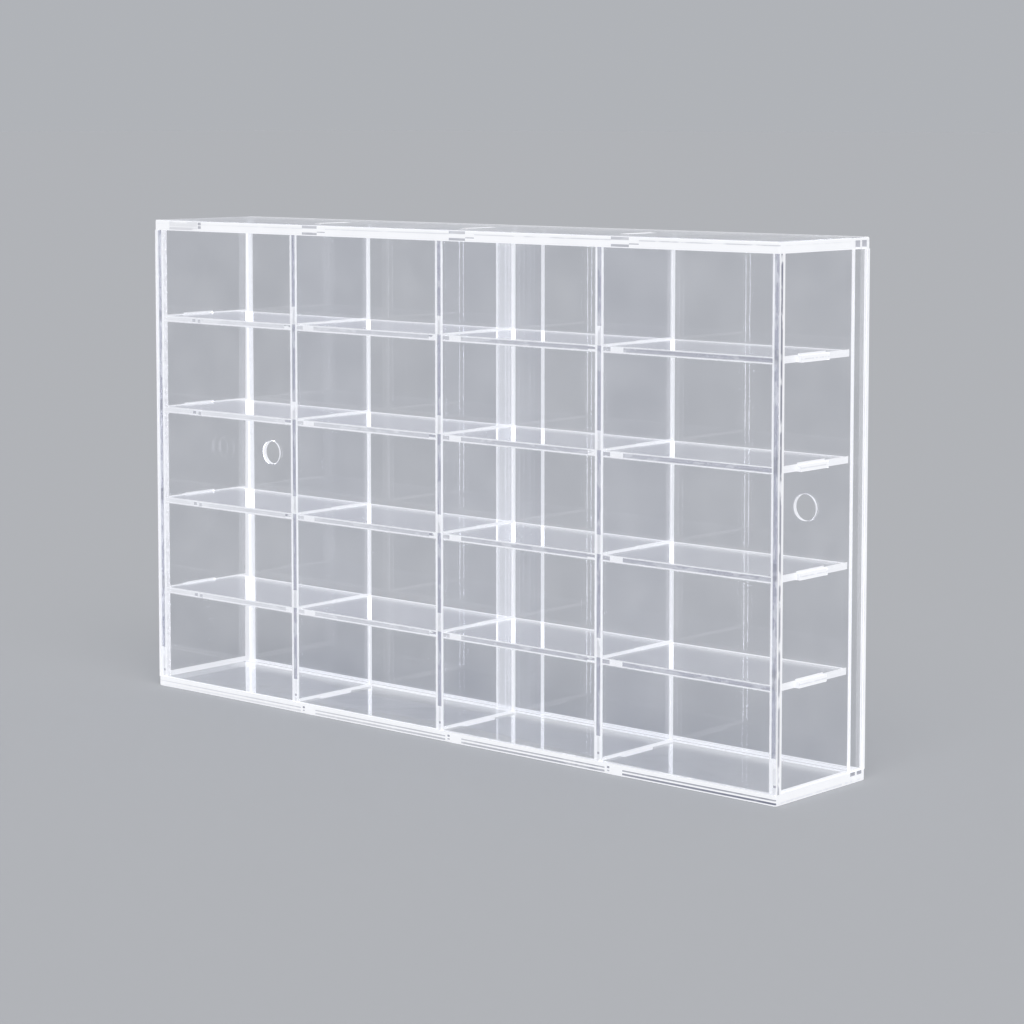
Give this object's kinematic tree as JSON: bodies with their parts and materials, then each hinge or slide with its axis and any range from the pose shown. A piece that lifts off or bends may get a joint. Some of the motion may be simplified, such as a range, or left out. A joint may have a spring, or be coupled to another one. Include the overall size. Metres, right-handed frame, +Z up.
{
  "type": "acrylic display case",
  "caption": "Wide, shallow clear case of glued acrylic sheet, with a grid of open compartments behind a fixed front panel and two sliding doors at the rear.",
  "frame": {"origin": "middle of the underside of the bottom panel", "axes": "+X along the width to the right as seen from the fixed front panel, +Y from the front panel to the sliding doors, +Z up"},
  "size_m": [0.424, 0.072, 0.26],
  "materials": {
    "outer_sheet": "clear cast acrylic with flame-polished edges",
    "front_sheet": "clear cast acrylic",
    "grid_sheet": "clear cast acrylic with bright laser-cut edges",
    "door_sheet": "clear cast acrylic"
  },
  "bodies": {
    "case": {"top_panel": "outer_sheet", "bottom_panel": "outer_sheet", "left_wall": "outer_sheet", "right_wall": "outer_sheet", "front_panel": "front_sheet", "shelf_1": "grid_sheet", "shelf_2": "grid_sheet", "shelf_3": "grid_sheet", "shelf_4": "grid_sheet", "divider_1": "grid_sheet", "divider_2": "grid_sheet", "divider_3": "grid_sheet"},
    "left_door": {"left_door": "door_sheet"},
    "right_door": {"right_door": "door_sheet"}
  },
  "joints": [
    {"name": "left_door_slide", "type": "slide", "parent": "case", "child": "left_door", "axis": [1, 0, 0], "range_m": [0, 0.192]},
    {"name": "right_door_slide", "type": "slide", "parent": "case", "child": "right_door", "axis": [1, 0, 0], "range_m": [-0.192, 0]}
  ]
}
